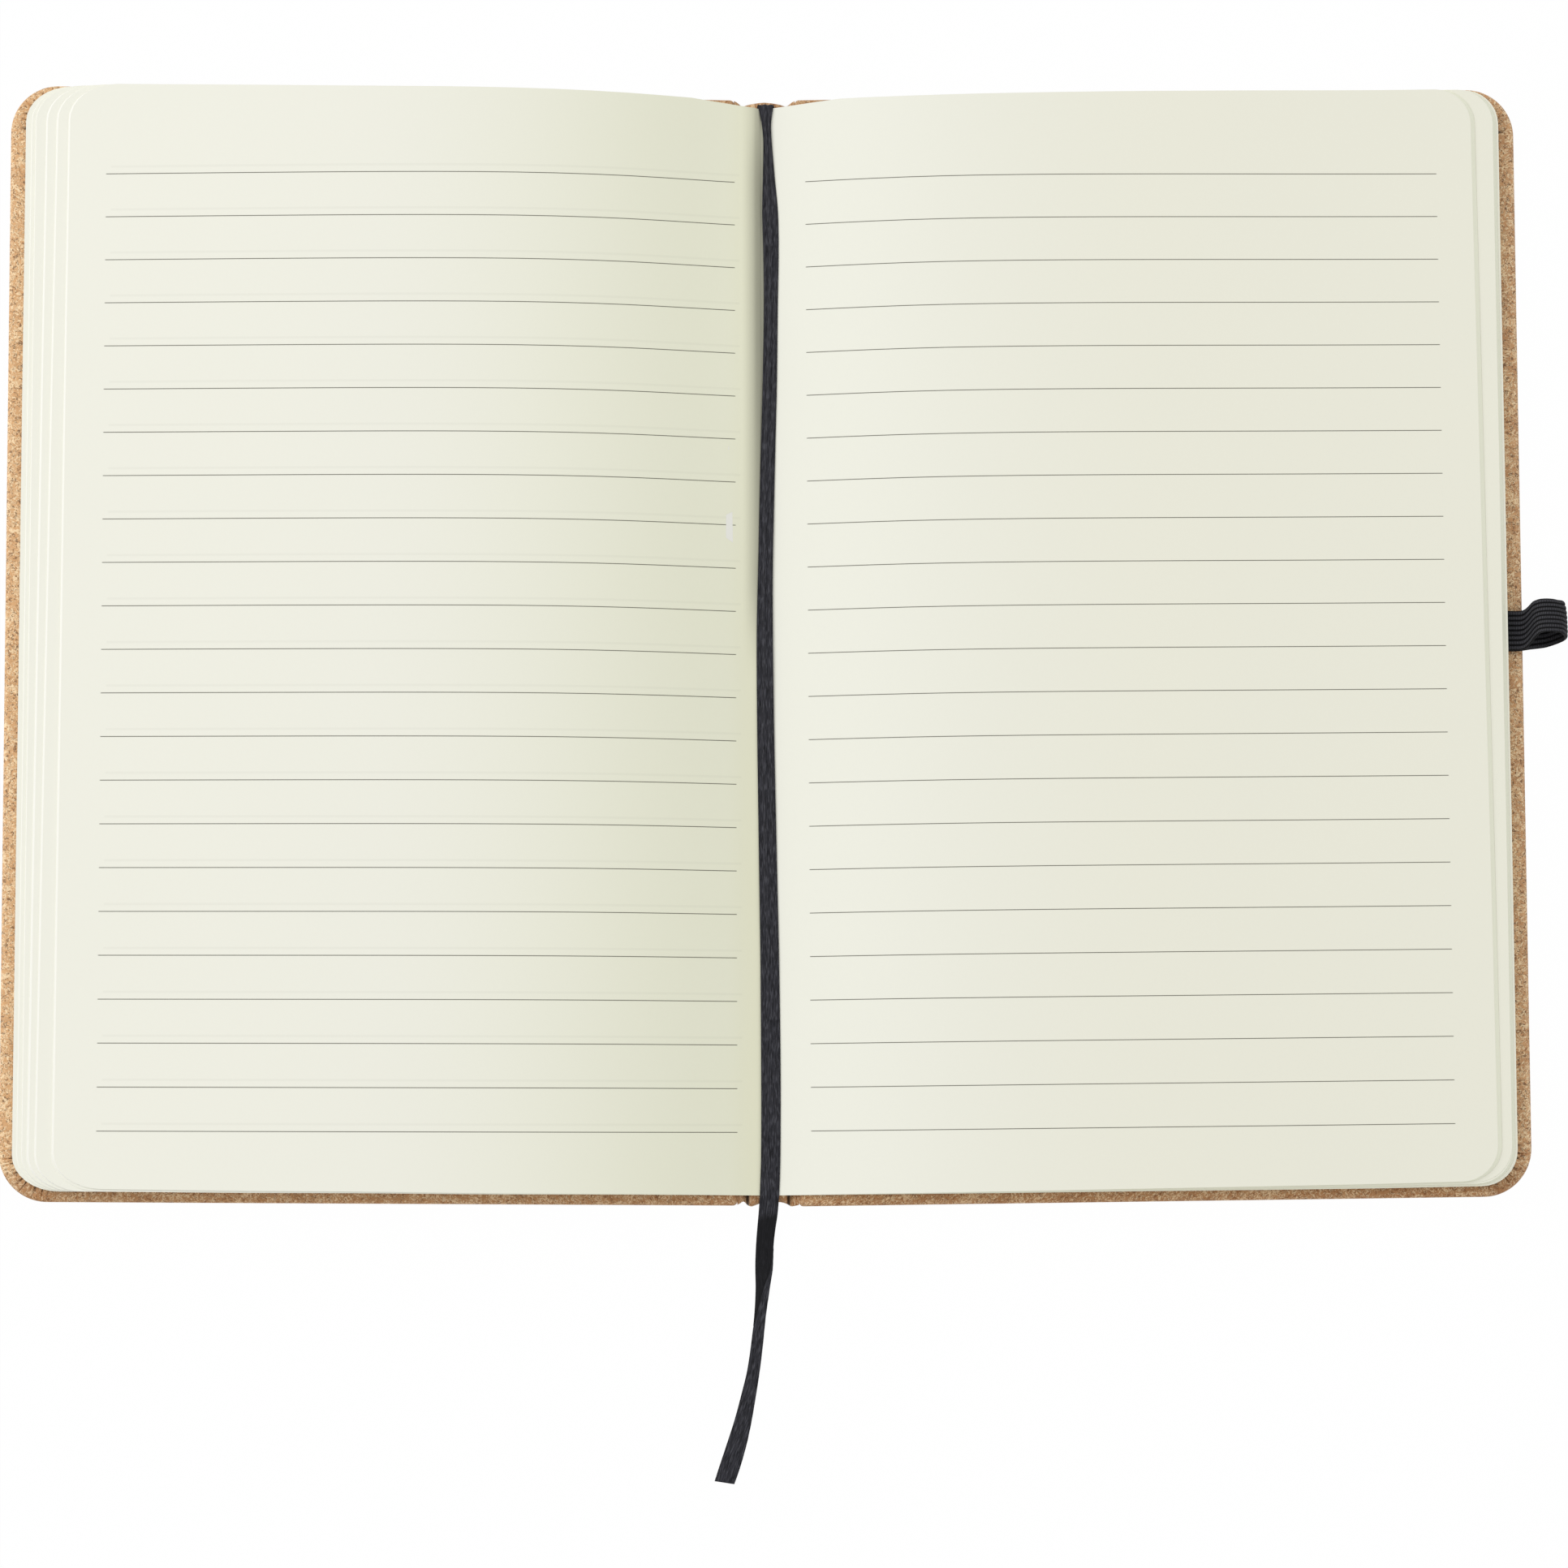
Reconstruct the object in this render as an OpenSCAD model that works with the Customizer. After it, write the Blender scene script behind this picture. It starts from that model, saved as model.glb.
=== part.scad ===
// Hardcover ruled notebook lying open at its middle, with a ribbon marker and an elastic pen loop.
// The spine's outer face lies on the table at the origin, +X towards the back cover, +Y towards the head.

/* [Covers] */
// Width of one cover, from the middle of the spine to its fore edge
cover_reach = 146.4; // [125:0.1:160]
// Thickness of the grey board in each cover
board_t = 2; // [1.5:0.1:3]
// Thickness of the bonded leather covering
covering_t = 0.5; // [0.4:0.05:0.8]
// Radius of the covers' rounded fore-edge corners
cover_corner_r = 9.3; // [6:0.1:14]
// Rounding of the covers' outer edges
edge_r = 0.9; // [0.5:0.1:1.2]
// Width of the covering's strip that is turned in over the board
turn_in_w = 14; // [10:0.5:18]
// Number of pleats where the covering is gathered round a corner
corner_pleats = 8; // [5:1:11]
// Width of a pleat's crease
pleat_w = 0.3; // [0.2:0.05:0.5]
// Depth of a pleat's crease
pleat_depth = 0.25; // [0.1:0.05:0.35]

/* [Spine] */
// Width of the stiff card strip in the spine
strip_w = 7.7; // [6:0.1:10]
// Thickness of the card strip
strip_t = 1; // [0.6:0.1:1.2]
// Width of the hinge groove between the spine and a board
groove_w = 1.75; // [1.5:0.05:3]
// Height of a hinge line above the table
hinge_z = 1.6; // [1.5:0.05:2]
// Gap between the covering's halves at a hinge line
hinge_gap = 0.1; // [0.05:0.05:0.2]
// Thickness of the cloth lining between the spine and the pages
lining_t = 0.45; // [0.3:0.05:0.5]

/* [Pages] */
// Height of the pages from tail to head
page_h = 211.6; // [185:0.1:230]
// How far the covers stand out beyond the pages at head and tail
head_square = 1.4; // [1:0.1:4]
// Radius of the pages' rounded corners
page_corner_r = 7.6; // [5:0.1:12]
// Thickness of the page block where it is sewn at the gutter
gutter_t = 0.65; // [0.4:0.05:1]
// How far the lowest leaves stop short of the cover's fore edge
fore_square = 2.6; // [2:0.1:5]
// Groups of leaves in the fanned left half
left_groups = 8; // [4:1:12]
// How far the left fore edge is fanned, from the lowest leaf to the top one
left_fan = 8; // [4:0.5:12]
// Full rise of the left half above the gutter
left_rise = 18.1; // [14:0.1:19]
// Fall of the left half towards its fore edge, for each mm of width
left_fall = 0.085; // [0.06:0.005:0.09]
// Width over which the left half rises out of the gutter
left_run = 29; // [20:0.5:34]
// Groups of leaves in the fanned right half
right_groups = 6; // [4:1:10]
// How far the right fore edge is fanned
right_fan = 5.2; // [3:0.1:9]
// Full rise of the right half above the gutter
right_rise = 10.65; // [9:0.05:14]
// Fall of the right half towards its fore edge, for each mm of width
right_fall = 0.047; // [0.03:0.001:0.05]
// Width over which the right half rises out of the gutter
right_run = 26; // [18:0.5:34]

/* [Endpapers] */
// Thickness of an endpaper
paper_t = 0.2; // [0.15:0.05:0.3]
// How far an endpaper stops short of the cover's edges
endpaper_margin = 3; // [2:0.1:6]

/* [Pen loop] */
// Width of the elastic band
band_w = 7.6; // [6:0.1:10]
// Thickness of the elastic band at its ribs
band_t = 0.7; // [0.6:0.05:0.9]
// Ribs woven along the band
band_ribs = 8; // [5:1:10]
// Outer radius of the round eye that holds the pen
eye_r = 4.1; // [3.8:0.05:4.2]
// How far the loop stands out from the cover
loop_reach = 8.5; // [8.5:0.1:14]
// Place of the loop along the cover's fore edge, from the middle
loop_y = 2.1; // [-60:0.1:60]
// How far the top of the loop is twisted towards the head
loop_twist = 3; // [0:0.5:5]
// Length of the band's ends that are glued in under the endpaper
tab_l = 13; // [10:0.5:20]

/* [Ribbon] */
// Width of the ribbon marker
ribbon_w = 3.8; // [3:0.1:6]
// Thickness of the ribbon marker
ribbon_t = 0.3; // [0.2:0.05:0.4]

/* [Hidden] */
$fn = 48;

leather = "#a5805f";
greyboard = "#8f8b84";
cream = "#efeee2";
black_band = "#2b2b2e";

// Clearance that keeps a soft part off its neighbour
ease = 0.05;
// Overlap that joins the shapes of one solid
join = 0.02;
cut = 1;

page_half_h = page_h / 2;
half_h = page_half_h + head_square;
strip_x = strip_w / 2;
groove_x = strip_x + ease;
hinge_x = groove_x + groove_w;
nose_r = covering_t / 2;
board_x = hinge_x + covering_t + ease;
board_z = covering_t;
turn_in_z = board_z + board_t;
cover_top = turn_in_z + covering_t;
endpaper_top = cover_top + paper_t;
board_edge_x = cover_reach - covering_t;
board_half_h = half_h - covering_t;
window_x = cover_reach - turn_in_w;
window_half_h = half_h - turn_in_w;
endpaper_x = cover_reach - endpaper_margin;
endpaper_half_h = half_h - endpaper_margin;
endpaper_corner_r = max(cover_corner_r - endpaper_margin + 1, 2);

strip_top = covering_t + strip_t;
lining_w = strip_w - 0.5;
lining_top = strip_top + max(covering_t, lining_t);
block_z = lining_top + 2 * ease;
gutter_z = block_z + gutter_t;
leaf_z = endpaper_top + ease;
leaf_x = cover_reach - fore_square;
page_foot_x = board_x - 2 * ease;
rise_power = 1.37;
profile_steps = 26;

band_gap = 0.02;
low_tab_z = cover_top + band_t / 2 + band_gap;
high_tab_z = low_tab_z + band_t + band_gap;
tab_x = cover_reach - tab_l;
eye_mid_r = eye_r - band_t / 2;
eye_x = cover_reach + loop_reach - eye_r;
eye_z = max((low_tab_z + high_tab_z) / 2, eye_r + 0.2);
pocket_wall = 0.25;
pocket_half_w = band_w / 2 + 0.3;
pocket_top = high_tab_z + band_t / 2 + ease;
notch_half_w = pocket_half_w + pocket_wall + 0.3;
notch_top = pocket_top + paper_t + 0.1;

// Ribbon route: x, y and z. It is glued under the head of the pages, turns over their head, lies in
// the gutter and ends in a loose tail on the table. It is drawn for pages of this height.
drawn_page_h = 211.6;
ribbon_plan = [
    [0.4, 90, 2.33], [0.4, 98, 2.33], [0.4, 105.4, 2.33], [0.4, 106.1, 2.45],
    [0.4, 106.45, 2.75], [0.4, 106.1, 3.08], [0.4, 105.4, 3.2],
    [0.5, 102, 3.2], [0.7, 98, 3.2], [0.9, 91, 3.2], [1.1, 84, 3.2], [1.2, 76, 3.2],
    [1.1, 66, 3.2], [0.8, 50, 3.2], [0.3, 32, 3.2], [-0.1, 16, 3.2], [-0.3, 2, 3.2],
    [-0.2, -16, 3.2], [0.1, -38, 3.2], [0.4, -58, 3.2], [0.7, -78, 3.2], [0.8, -94, 3.2],
    [0.7, -104, 3.2], [0.6, -107, 3.05], [0.4, -109.5, 2.55], [0.1, -112, 1.8],
    [-0.2, -114.5, 1], [-0.4, -117, 0.45], [-0.6, -120, 0.2], [-0.9, -124, 0.2],
    [-1.4, -129, 0.2], [-2, -134.5, 0.2], [-2.7, -139.5, 0.2], [-3.6, -144, 0.2],
    [-4.7, -149, 0.2], [-5.9, -153.5, 0.2], [-7.3, -158, 0.2], [-8.2, -160.6, 0.2]
];
ribbon_route = [for (p = ribbon_plan) [p[0], p[1] * page_h / drawn_page_h, p[2]]];

function left_top(x) = gutter_z + left_rise * (1 - exp(-pow(x / left_run, rise_power))) - left_fall * x;
function right_top(x) = gutter_z + right_rise * (1 - exp(-pow(x / right_run, rise_power))) - right_fall * x;
function leaf_foot(x) = x < strip_x ? block_z
    : min(leaf_z, block_z + (leaf_z - block_z) * (x - strip_x) / (page_foot_x - strip_x));
// Places across a page, closer together near the gutter
function profile_x(i, reach) = reach * pow(i / profile_steps, 1.6);
// Top of one group of leaves, as a share of the full height of the fan
function group_top(x, share, side) =
    leaf_foot(x) + share * ((side == "left" ? left_top(x) : right_top(x)) - leaf_foot(x));

// Half-plan with two rounded corners at its far end
module half_plan(x0, x1, half_l, r) {
    translate([x0, -half_l]) square([x1 - r - x0, 2 * half_l]);
    translate([x1 - r - join, -half_l + r]) square([r + join, 2 * (half_l - r)]);
    for (side = [-1, 1]) translate([x1 - r, side * (half_l - r)]) circle(r, $fn = 96);
}

// Flat sheet over a half-plan
module half_sheet(x0, x1, half_l, r, z, t) {
    translate([0, 0, z]) linear_extrude(t) half_plan(x0, x1, half_l, r);
}

// Rounded disc that forms a soft cover corner
module corner_puck(r, h, round_r) {
    rotate_extrude($fn = 64) {
        square([r - round_r, h]);
        translate([0, round_r]) square([r, h - 2 * round_r]);
        for (z = [round_r, h - round_r]) translate([r - round_r, z]) circle(round_r, $fn = 24);
    }
}

// Outside form of one covered board, soft along its edges and round at its corners
module covered_board_form() {
    hull() {
        for (side = [-1, 1])
            translate([cover_reach - cover_corner_r, side * (half_h - cover_corner_r), 0])
                corner_puck(cover_corner_r, cover_top, edge_r);
        for (side = [-1, 1])
            translate([hinge_x + nose_r + covering_t, side * (half_h - edge_r), edge_r])
                rotate([0, 90, 0]) cylinder(h = 1, r = edge_r, $fn = 24);
        translate([hinge_x + nose_r + covering_t, edge_r - half_h, cover_top - 0.1])
            cube([1, 2 * (half_h - edge_r), 0.1]);
    }
}

// Creases that fan out round one corner of the turn-in
module corner_creases(side) {
    first = 8;
    step = (90 - 2 * first) / (corner_pleats - 1);
    translate([cover_reach - cover_corner_r, side * (half_h - cover_corner_r), cover_top])
        for (i = [0 : corner_pleats - 1])
            rotate([0, 0, side * (first + i * step)])
                translate([cover_corner_r * 0.3, 0, 0]) rotate([0, 90, 0])
                    linear_extrude(cover_corner_r * 0.62)
                        polygon([[pleat_depth, 0], [-cut, pleat_w * 2], [-cut, -pleat_w * 2]]);
}

// Covering of one cover: outer face, turned-in edges with gathered corners, and its half of the hinge
module covering_half() {
    difference() {
        covered_board_form();
        half_sheet(0, board_edge_x, board_half_h, cover_corner_r - covering_t, board_z, board_t);
        half_sheet(0, window_x, window_half_h, 2, turn_in_z - join, covering_t + cut);
        for (side = [-1, 1]) corner_creases(side);
    }
    translate([0, half_h - edge_r, 0]) rotate([90, 0, 0]) linear_extrude(2 * (half_h - edge_r)) {
        translate([hinge_x, hinge_z]) circle(nose_r, $fn = 24);
        translate([hinge_x, nose_r]) square([covering_t, hinge_z - nose_r]);
        translate([hinge_x + nose_r, 0]) square([covering_t + join, covering_t]);
        translate([hinge_x + nose_r, nose_r]) circle(nose_r, $fn = 24);
    }
}

// Endpaper pasted over the board and the turned-in edges, with its step down on to the board
module endpaper_half() {
    inner_x = window_x - ease;
    inner_half_h = window_half_h - ease;
    difference() {
        half_sheet(board_x, endpaper_x, endpaper_half_h, endpaper_corner_r, cover_top, paper_t);
        half_sheet(board_x - cut, inner_x - paper_t, inner_half_h - paper_t, 2, cover_top - cut, 3 * cut);
    }
    difference() {
        half_sheet(board_x, inner_x, inner_half_h, 2, turn_in_z, endpaper_top - turn_in_z);
        half_sheet(
            board_x - cut, inner_x - paper_t, inner_half_h - paper_t, 2, turn_in_z + paper_t, 3 * cut
        );
    }
}

// Pocket in the back endpaper over the glued ends of the pen loop
module loop_pocket(grow) {
    translate([tab_x - 0.3 - grow, loop_y - pocket_half_w - grow, cover_top - grow])
        cube([cover_reach, 2 * (pocket_half_w + grow), pocket_top - cover_top + 2 * grow]);
}

// How far one group of leaves reaches from the gutter
function group_reach(k, groups, fan) = leaf_x - fan * (k - 1) / (groups - 1);

// One half of the open block: the top leaf's curve, and the stepped fore edge below it
module pages_half(side) {
    groups = side == "left" ? left_groups : right_groups;
    fan = side == "left" ? left_fan : right_fan;
    top_reach = group_reach(groups, groups, fan);
    top_leaf = [for (i = [0 : profile_steps - 1])
        let (x = profile_x(i, top_reach)) [x, group_top(x, 1, side)]];
    stepped_edge = [for (k = [groups : -1 : 1], share = [k, k - 1])
        let (x = group_reach(k, groups, fan)) [x, group_top(x, share / groups, side)]];
    rotate([90, 0, 0]) translate([0, 0, -page_half_h]) linear_extrude(page_h)
        polygon(concat(
            [[-join, block_z], [-join, gutter_z]],
            top_leaf,
            stepped_edge,
            [[page_foot_x, leaf_z], [strip_x, block_z]]
        ));
}

// Block of sewn pages, open at its middle, with each half rising out of the gutter and fanned
module pages() {
    color(cream) difference() {
        union() {
            intersection() {
                pages_half("right");
                half_sheet(-join, leaf_x, page_half_h, page_corner_r, 0, 30);
            }
            mirror([1, 0, 0]) intersection() {
                pages_half("left");
                half_sheet(-join, leaf_x, page_half_h, page_corner_r, 0, 30);
            }
        }
        ribbon_seat();
        translate([tab_x - 1, loop_y - notch_half_w, 0])
            cube([cover_reach, 2 * notch_half_w, notch_top]);
    }
}

// Room under the head of the pages for the glued end of the ribbon
module ribbon_seat() {
    seat_w = ribbon_w + 0.8;
    translate([ribbon_route[0][0] - seat_w / 2, ribbon_route[0][1] - 1, block_z - cut])
        cube([seat_w, page_half_h, cut + 2 * ribbon_t - 0.2]);
}

module spine_strip() {
    color(greyboard) translate([-strip_x, 1 - board_half_h, covering_t])
        cube([strip_w, 2 * (board_half_h - 1), strip_t]);
}

// Covering of the spine: round the strip, up into both grooves, and turned in at head and tail
module spine_covering() {
    lip_x = hinge_x - nose_r - hinge_gap;
    color(leather) {
        rotate([90, 0, 0]) translate([0, 0, edge_r - half_h]) linear_extrude(2 * (half_h - edge_r)) {
            translate([-groove_x, 0]) square([2 * groove_x, covering_t]);
            for (side = [0, 1]) mirror([side, 0]) {
                translate([groove_x, nose_r]) square([covering_t, hinge_z - nose_r]);
                translate([groove_x, nose_r]) circle(nose_r, $fn = 24);
                translate([groove_x - join, 0]) square([nose_r, covering_t / 2]);
                translate([groove_x, hinge_z - nose_r])
                    square([lip_x - groove_x, covering_t]);
            }
        }
        for (end = [0, 1]) mirror([0, end, 0]) {
            translate([-groove_x + ease, board_half_h - 1 + ease, 0])
                cube([2 * (groove_x - ease), covering_t, strip_top + covering_t]);
            translate([-groove_x + ease, board_half_h - turn_in_w, strip_top])
                cube([2 * (groove_x - ease), turn_in_w - 1 + covering_t + ease, covering_t]);
        }
    }
}

// Cloth lining glued along the inside of the spine, between the turned-in ends
module spine_lining() {
    lining_half_h = board_half_h - turn_in_w - 0.3;
    color("#e6e2d6") translate([-lining_w / 2, -lining_half_h, strip_top])
        cube([lining_w, 2 * lining_half_h, lining_t + ease]);
}

// Section of the ribbon: eight points, thin and slightly rounded at its edges
function ribbon_section() = [
    [ribbon_w / 2, 0.05], [ribbon_w / 4, ribbon_t / 2], [-ribbon_w / 4, ribbon_t / 2],
    [-ribbon_w / 2, 0.05], [-ribbon_w / 2, -0.05], [-ribbon_w / 4, -ribbon_t / 2],
    [ribbon_w / 4, -ribbon_t / 2], [ribbon_w / 2, -0.05]
];
function unit(v) = v / norm(v);
function route_dir(path, i) = unit(path[min(i + 1, len(path) - 1)] - path[max(i - 1, 0)]);

// Flat ribbon swept along its route
module ribbon_marker() {
    section = ribbon_section();
    sides = len(section);
    rings = len(ribbon_route);
    points = [
        for (i = [0 : rings - 1])
            let (
                along = route_dir(ribbon_route, i),
                across = unit(cross([0, -along[2], along[1]], along)),
                up = cross(along, across)
            )
            for (p = section) ribbon_route[i] + across * p[0] + up * p[1]
    ];
    color(black_band) polyhedron(points, swept_faces(rings, sides), 10);
}

// Faces of a swept tube with flat ends
function swept_faces(rings, sides) = concat(
    [[for (j = [0 : sides - 1]) j]],
    [for (i = [0 : rings - 2], j = [0 : sides - 1])
        let (a = i * sides + j, b = i * sides + (j + 1) % sides)
        [b, a, a + sides, b + sides]],
    [[for (j = [sides - 1 : -1 : 0]) (rings - 1) * sides + j]]
);

module front_board() {
    color(greyboard) mirror([1, 0, 0]) board_half();
}

module back_board() {
    color(greyboard) board_half();
}

module board_half() {
    half_sheet(board_x, board_edge_x, board_half_h, cover_corner_r - covering_t, board_z, board_t);
}

module front_covering() {
    color(leather) mirror([1, 0, 0]) covering_half();
}

module back_covering() {
    color(leather) covering_half();
}

module front_endpaper() {
    color(cream) mirror([1, 0, 0]) endpaper_half();
}

module back_endpaper() {
    color(cream) {
        difference() {
            endpaper_half();
            loop_pocket(0);
        }
        intersection() {
            difference() {
                loop_pocket(pocket_wall);
                loop_pocket(0);
            }
            translate([0, -half_h, cover_top]) cube([endpaper_x, 2 * half_h, 10]);
        }
    }
}

// Middle line of the elastic: out along the lower tab, round the eye, and back along the upper tab
loop_path = concat(
    [[tab_x, low_tab_z], [tab_x + tab_l / 2, low_tab_z], [cover_reach + band_gap, low_tab_z]],
    [for (a = [-110 : 10 : 110]) [eye_x + eye_mid_r * cos(a), eye_z + eye_mid_r * sin(a)]],
    [[cover_reach - 1, high_tab_z], [tab_x + tab_l / 2, high_tab_z], [tab_x, high_tab_z]]
);
function loop_shift(i) = loop_twist * pow(sin(180 * i / (len(loop_path) - 1)), 2) * i / len(loop_path) * 1.4;

// Elastic loop: a ribbed band, folded round to a pen-sized eye and glued in at both ends
module pen_loop() {
    rib = band_w / band_ribs;
    root_t = band_t * 0.36;
    crown_t = band_t / 2;
    top_side = [for (j = [0 : 2 * band_ribs]) [-band_w / 2 + j * rib / 2, j % 2 == 0 ? root_t : crown_t]];
    low_side = [for (j = [2 * band_ribs : -1 : 0]) [-band_w / 2 + j * rib / 2, j % 2 == 0 ? -root_t : -crown_t]];
    section = concat(top_side, low_side);
    rings = len(loop_path);
    points = [
        for (i = [0 : rings - 1])
            let (
                along = unit(loop_path[min(i + 1, rings - 1)] - loop_path[max(i - 1, 0)]),
                out = [-along[1], along[0]]
            )
            for (p = section) [
                loop_path[i][0] + out[0] * p[1],
                loop_y + loop_shift(i) + p[0],
                loop_path[i][1] + out[1] * p[1]
            ]
    ];
    color(black_band) polyhedron(points, swept_faces(rings, len(section)), 10);
}

pages();
spine_strip();
spine_covering();
spine_lining();
ribbon_marker();
front_board();
front_covering();
front_endpaper();
back_board();
back_covering();
back_endpaper();
pen_loop();
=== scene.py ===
import math

import bmesh
import bpy
import numpy as np
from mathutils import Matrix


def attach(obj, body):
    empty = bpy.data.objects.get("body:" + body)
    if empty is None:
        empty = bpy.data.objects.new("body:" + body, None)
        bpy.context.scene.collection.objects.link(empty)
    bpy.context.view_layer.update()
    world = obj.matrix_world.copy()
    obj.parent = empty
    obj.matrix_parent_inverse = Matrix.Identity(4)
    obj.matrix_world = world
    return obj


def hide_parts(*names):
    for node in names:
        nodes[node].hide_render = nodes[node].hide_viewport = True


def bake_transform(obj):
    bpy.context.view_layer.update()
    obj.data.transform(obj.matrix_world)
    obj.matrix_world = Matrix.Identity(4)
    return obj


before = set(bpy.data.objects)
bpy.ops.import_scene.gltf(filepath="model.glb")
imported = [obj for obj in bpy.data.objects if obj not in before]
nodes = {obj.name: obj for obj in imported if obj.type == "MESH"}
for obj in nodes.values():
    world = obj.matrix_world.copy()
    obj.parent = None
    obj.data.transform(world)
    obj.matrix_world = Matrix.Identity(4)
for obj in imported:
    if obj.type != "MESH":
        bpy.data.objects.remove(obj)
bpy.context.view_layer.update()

# Camera
# It looks down at the open notebook from about 0.95 m, tilted a few degrees towards the tail, as a
# hand-held camera would be.
camera_data = bpy.data.cameras.new("camera")
camera_data.sensor_width = 36
camera_data.lens = 113.27
camera = bpy.data.objects.new("camera", camera_data)
camera.location = (-0.01672, -0.0906, 0.95011)
camera.rotation_euler = (0.067163, -0.020898, -0.00371)
bpy.context.scene.collection.objects.link(camera)
bpy.context.scene.camera = camera

# Ribbon marker
# A narrow black satin ribbon. Its end is glued under the head of the pages; it turns over their head,
# lies in the gutter, gathered lengthwise where it is narrow, and its loose tail is folded over once.
ribbon_w = 3.8
ribbon_t = 0.22
ribbon_gathers = 2.5
# Its underside lies this far aside in the flat pattern
ribbon_under_side = 20
fold_r = 0.12
fold_lift = 0.17
# In mm: x, y and z of the ribbon's middle, how wide it lies, and where across it the fold runs
ribbon_route = [
    (0.4, 90, 2.33, 3.8, 1.9), (0.4, 98, 2.33, 3.8, 1.9), (0.4, 105.4, 2.33, 3.8, 1.9),
    (0.4, 106.1, 2.45, 3.7, 1.9), (0.4, 106.45, 2.75, 3.5, 1.9), (0.4, 106.1, 3.08, 3.3, 1.9),
    (0.4, 105.4, 3.2, 3.1, 1.9), (0.5, 102, 3.2, 1.9, 1.9), (0.7, 98, 3.2, 1.65, 1.9),
    (0.9, 91, 3.2, 2.3, 1.9), (1.1, 84, 3.2, 3.05, 1.9), (1.2, 76, 3.2, 2.95, 1.9),
    (1.1, 66, 3.2, 2.7, 1.9), (0.8, 50, 3.2, 2.75, 1.9), (0.3, 32, 3.2, 2.8, 1.9),
    (-0.1, 16, 3.2, 2.8, 1.9), (-0.3, 2, 3.2, 3.1, 1.9), (-0.2, -16, 3.2, 3.25, 1.9),
    (0.1, -38, 3.2, 3.4, 1.9), (0.4, -58, 3.2, 3.55, 1.9), (0.7, -78, 3.2, 3.7, 1.9),
    (0.8, -94, 3.2, 3.7, 1.9), (0.7, -104, 3.2, 3.7, 1.9), (0.6, -107, 3.05, 3.7, 1.9),
    (0.4, -109.5, 2.55, 3.65, 1.9), (0.1, -112, 1.8, 3.5, 1.9), (-0.2, -114.5, 1, 3.4, 1.9),
    (-0.4, -117, 0.45, 3.4, 1.7), (-0.6, -120, 0.2, 3.3, 1.4), (-0.9, -124, 0.2, 2.6, 0.7),
    (-1.4, -129, 0.2, 2.15, 0.2), (-2, -134.5, 0.2, 2.2, -0.3), (-2.7, -139.5, 0.2, 2.33, -0.45),
    (-3.6, -144, 0.2, 2.72, -0.82), (-4.7, -149, 0.2, 3.2, -1.3), (-5.9, -153.5, 0.2, 3.68, -1.8),
    (-7.3, -158, 0.2, 3.9, -2), (-8.2, -160.6, 0.2, 3.8, -2),
]


def smooth_path(points, between):
    """Points on the smooth curve through the given ones, with that many steps between each two."""
    given = np.array(points, float)
    ends = np.vstack([2 * given[0] - given[1], given, 2 * given[-1] - given[-2]])
    steps = np.arange(between)[:, None] / between
    made = []
    for before, here, there, after in zip(ends, ends[1:], ends[2:], ends[3:]):
        made.append(0.5 * (
            2 * here + (there - before) * steps
            + (2 * before - 5 * here + 4 * there - after) * steps**2
            + (3 * here - before - 3 * there + after) * steps**3
        ))
    return np.vstack(made + [given[-1:]])


def sheet_faces(rows, columns):
    """Faces of a closed thin sheet: an upper grid of points, then a lower one, and the rim between."""
    index = np.arange(rows * columns).reshape(rows, columns)
    corners = [index[:-1, :-1], index[:-1, 1:], index[1:, 1:], index[1:, :-1]]
    upper = np.stack([c.ravel() for c in corners], 1)
    lower = np.stack([c.ravel() + rows * columns for c in corners[::-1]], 1)
    edge = np.concatenate([
        index[0, :-1], index[:-1, -1], index[-1, :0:-1], index[:0:-1, 0],
    ])
    after = np.roll(edge, -1)
    lift = rows * columns
    rim = np.stack([edge, edge + lift, after + lift, after], 1)
    return np.vstack([upper, lower, rim])


def add_piece(name, points, faces, flat, finish, crease=35):
    """A mesh piece in metres, with its flat pattern in mm as its UV map."""
    mesh = bpy.data.meshes.new(name)
    mesh.from_pydata([tuple(p) for p in points], [], [tuple(int(i) for i in f) for f in faces])
    shape = bmesh.new()
    shape.from_mesh(mesh)
    bmesh.ops.recalc_face_normals(shape, faces=shape.faces)
    shape.to_mesh(mesh)
    shape.free()
    corner = np.zeros(len(mesh.loops), int)
    mesh.loops.foreach_get("vertex_index", corner)
    layer = mesh.uv_layers.new(name="flat")
    layer.data.foreach_set("uv", np.asarray(flat, float)[corner].ravel())
    mesh.shade_smooth()
    mesh.set_sharp_from_angle(angle=math.radians(crease))
    mesh.materials.append(finish)
    piece = bpy.data.objects.new(name, mesh)
    bpy.context.scene.collection.objects.link(piece)
    return piece


class Value:
    """A shader socket that takes part in Python sums."""

    def __init__(self, finish, socket):
        self.finish = finish
        self.socket = socket

    def maths(self, operation, *values):
        return self.finish.node("ShaderNodeMath", {"operation": operation}, dict(enumerate(values)))

    def __add__(self, other):
        return self.maths("ADD", self, other)

    __radd__ = __add__

    def __sub__(self, other):
        return self.maths("SUBTRACT", self, other)

    def __rsub__(self, other):
        return self.maths("SUBTRACT", other, self)

    def __mul__(self, other):
        return self.maths("MULTIPLY", self, other)

    __rmul__ = __mul__

    def __truediv__(self, other):
        return self.maths("DIVIDE", self, other)

    def __rtruediv__(self, other):
        return self.maths("DIVIDE", other, self)

    def __mod__(self, other):
        return self.maths("MODULO", self, other)

    def __pow__(self, other):
        return self.maths("POWER", self, other)

    def __abs__(self):
        return self.maths("ABSOLUTE", self)


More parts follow.
